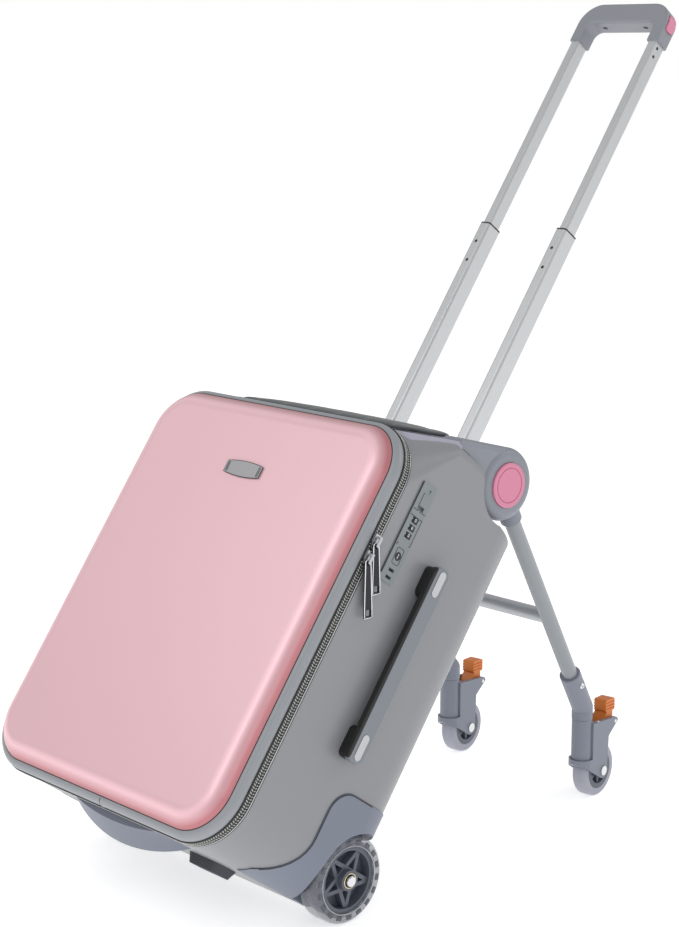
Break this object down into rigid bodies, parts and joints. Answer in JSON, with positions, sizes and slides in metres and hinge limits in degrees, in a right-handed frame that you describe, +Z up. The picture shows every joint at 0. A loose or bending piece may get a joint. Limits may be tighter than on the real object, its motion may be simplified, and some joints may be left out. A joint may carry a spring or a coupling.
{
  "type": "ride-on suitcase",
  "caption": "Cabin suitcase leaning on two wheels with a fold-out rear leg frame on braked casters, a seat pad on top and a drawn-out trolley handle.",
  "frame": {"origin": "on the floor under the middle of the object's box, in the riding pose", "axes": "+Z up, +Y from the lid towards the casters and the trolley grip, +X towards the lock and side handle"},
  "size_m": [0.3906, 0.8056, 0.8957],
  "materials": {
    "pink_lid": "satin metallic pink",
    "grey_frame": "satin light grey",
    "grey_body": "satin grey",
    "blue_grey": "satin blue-grey",
    "pale_strip": "satin lavender-grey",
    "pink_trim": "satin pink",
    "cushion": "soft dark grey",
    "tube": "brushed satin",
    "steel": "plain",
    "leg_paint": "light grey paint",
    "cross_bar": "grey metallic paint",
    "chrome": "polished",
    "zipper": "metal-look coil on grey tape",
    "black": "satin black",
    "lock_grey": "satin grey",
    "badge": "satin silver, blank",
    "silver": "satin silver",
    "rubber": "charcoal",
    "clear_tread": "clear grey elastomer",
    "core_grey": "dark blue-grey",
    "orange": "orange",
    "lining": "grey lining board",
    "dial": "black dial"
  },
  "bodies": {
    "case": {"body_shell": "grey_body", "lining_panel": "lining", "seat_base": "pale_strip", "seat_cushion": "cushion", "pivot_housing": "blue_grey", "pivot_caps": "pink_trim", "pivot_pins": "steel", "trolley_outer_tubes": "tube", "trolley_foot_bracket": "black", "zipper_tape_body": "zipper", "lock_housing": "lock_grey", "lock_dial_pin": "steel", "side_handle_bases": "black", "wheel_housing_left": "blue_grey", "wheel_housing_right": "blue_grey", "axle_bolts": "chrome", "feet": "rubber", "bottom_grip": "blue_grey"},
    "lid": {"lid_frame": "grey_frame", "lid_panel": "pink_lid", "badge_plate": "badge", "zipper_tape_lid": "zipper"},
    "zipper_slider_upper": {"zipper_slider_upper": "chrome"},
    "zipper_slider_lower": {"zipper_slider_lower": "chrome"},
    "zipper_pull_upper": {"zipper_pull_upper": "chrome"},
    "zipper_pull_lower": {"zipper_pull_lower": "chrome"},
    "lock_dial_1": {"lock_dial_1": "dial"},
    "lock_dial_2": {"lock_dial_2": "dial"},
    "lock_dial_3": {"lock_dial_3": "dial"},
    "lock_cylinder": {"lock_cylinder": "lock_grey"},
    "lock_button": {"lock_button": "lock_grey"},
    "side_handle": {"side_handle_bar": "grey_frame", "side_handle_inlays": "silver"},
    "trolley_mid": {"trolley_mid_tubes": "tube", "trolley_bushings": "black"},
    "trolley_inner": {"trolley_inner_tubes": "tube", "handle_grip": "blue_grey"},
    "handle_button": {"handle_button": "pink_trim"},
    "leg_frame": {"leg_tubes": "leg_paint", "leg_knuckles": "blue_grey", "leg_cross_bar": "cross_bar", "caster_sockets": "blue_grey"},
    "caster_left": {"caster_fork_left": "blue_grey", "caster_pin_left": "steel", "caster_axle_left": "chrome"},
    "caster_wheel_left": {"caster_wheel_left": "core_grey", "caster_tyre_left": "clear_tread"},
    "brake_lever_left": {"brake_lever_left": "orange"},
    "main_wheel_left": {"wheel_core_left": "core_grey", "wheel_tyre_left": "clear_tread", "wheel_bearing_left": "steel"},
    "caster_right": {"caster_fork_right": "blue_grey", "caster_pin_right": "steel", "caster_axle_right": "chrome"},
    "caster_wheel_right": {"caster_wheel_right": "core_grey", "caster_tyre_right": "clear_tread"},
    "brake_lever_right": {"brake_lever_right": "orange"},
    "main_wheel_right": {"wheel_core_right": "core_grey", "wheel_tyre_right": "clear_tread", "wheel_bearing_right": "steel"}
  },
  "joints": [
    {"name": "lid_hinge", "type": "hinge", "parent": "case", "child": "lid", "pos_m": [-0.19505, -0.2609, 0.29816], "axis": [0, -0.585, -0.8111], "range_deg": [0, 110]},
    {"name": "zipper_slider_upper_slide", "type": "slide", "parent": "case", "child": "zipper_slider_upper", "axis": [0, 0.585, 0.8111], "range_m": [0, 0.055]},
    {"name": "zipper_slider_lower_slide", "type": "slide", "parent": "case", "child": "zipper_slider_lower", "axis": [0, 0.585, 0.8111], "range_m": [-0.24, 0]},
    {"name": "zipper_pull_upper_swing", "type": "hinge", "parent": "zipper_slider_upper", "child": "zipper_pull_upper", "pos_m": [0.18355, -0.20147, 0.38057], "axis": [1, 0, 0], "range_deg": [0, 100]},
    {"name": "zipper_pull_lower_swing", "type": "hinge", "parent": "zipper_slider_lower", "child": "zipper_pull_lower", "pos_m": [0.18355, -0.21199, 0.36597], "axis": [-1, 0, 0], "range_deg": [0, 70]},
    {"name": "lock_cylinder_turn", "type": "hinge", "parent": "case", "child": "lock_cylinder", "pos_m": [0.17795, -0.16771, 0.36412], "axis": [1, 0, 0], "range_deg": [0, 90]},
    {"name": "lock_button_slide", "type": "slide", "parent": "case", "child": "lock_button", "axis": [0, 0.585, 0.8111], "range_m": [-0.004, 0], "stiffness_N_per_m": 150},
    {"name": "side_handle_lift", "type": "slide", "parent": "case", "child": "side_handle", "axis": [1, 0, 0], "range_m": [0, 0.006], "stiffness_N_per_m": 200},
    {"name": "trolley_mid_slide", "type": "slide", "parent": "case", "child": "trolley_mid", "axis": [0, 0.585, 0.8111], "range_m": [-0.2827, 0]},
    {"name": "trolley_inner_slide", "type": "slide", "parent": "trolley_mid", "child": "trolley_inner", "axis": [0, 0.585, 0.8111], "range_m": [-0.2519, 0]},
    {"name": "handle_button_press", "type": "slide", "parent": "trolley_inner", "child": "handle_button", "axis": [-1, 0, 0], "range_m": [0, 0.003], "stiffness_N_per_m": 400},
    {"name": "leg_frame_fold", "type": "hinge", "parent": "case", "child": "leg_frame", "pos_m": [-0.00805, -0.00353, 0.40969], "axis": [1, 0, 0], "range_deg": [-46, 0]},
    {"name": "lock_dial_1_turn", "type": "hinge", "parent": "case", "child": "lock_dial_1", "pos_m": [0.17185, -0.15437, 0.38261], "axis": [0, 0.585, 0.8111], "continuous": true},
    {"name": "lock_dial_2_turn", "type": "hinge", "parent": "case", "child": "lock_dial_2", "pos_m": [0.17185, -0.14958, 0.38926], "axis": [0, 0.585, 0.8111], "continuous": true},
    {"name": "lock_dial_3_turn", "type": "hinge", "parent": "case", "child": "lock_dial_3", "pos_m": [0.17185, -0.14478, 0.39591], "axis": [0, 0.585, 0.8111], "continuous": true},
    {"name": "caster_left_swivel", "type": "hinge", "parent": "leg_frame", "child": "caster_left", "pos_m": [-0.11305, 0.2076, 0.097], "axis": [0, 0, 1], "continuous": true},
    {"name": "caster_wheel_left_spin", "type": "hinge", "parent": "caster_left", "child": "caster_wheel_left", "pos_m": [-0.11653, 0.23235, 0.031], "axis": [0.9903, 0.1392, 0], "continuous": true},
    {"name": "brake_lever_left_press", "type": "hinge", "parent": "caster_left", "child": "brake_lever_left", "pos_m": [-0.12001, 0.25711, 0.084], "axis": [0.9903, 0.1392, 0], "range_deg": [0, 8], "stiffness_Nm_per_rad": 0.6},
    {"name": "main_wheel_left_spin", "type": "hinge", "parent": "case", "child": "main_wheel_left", "pos_m": [-0.00805, -0.2234, 0.045], "axis": [1, 0, 0], "continuous": true},
    {"name": "caster_right_swivel", "type": "hinge", "parent": "leg_frame", "child": "caster_right", "pos_m": [0.09695, 0.2076, 0.097], "axis": [0, 0, 1], "continuous": true},
    {"name": "caster_wheel_right_spin", "type": "hinge", "parent": "caster_right", "child": "caster_wheel_right", "pos_m": [0.09347, 0.23235, 0.031], "axis": [0.9903, 0.1392, 0], "continuous": true},
    {"name": "brake_lever_right_press", "type": "hinge", "parent": "caster_right", "child": "brake_lever_right", "pos_m": [0.08999, 0.25711, 0.084], "axis": [0.9903, 0.1392, 0], "range_deg": [0, 8], "stiffness_Nm_per_rad": 0.6},
    {"name": "main_wheel_right_spin", "type": "hinge", "parent": "case", "child": "main_wheel_right", "pos_m": [-0.00805, -0.2234, 0.045], "axis": [1, 0, 0], "continuous": true}
  ]
}
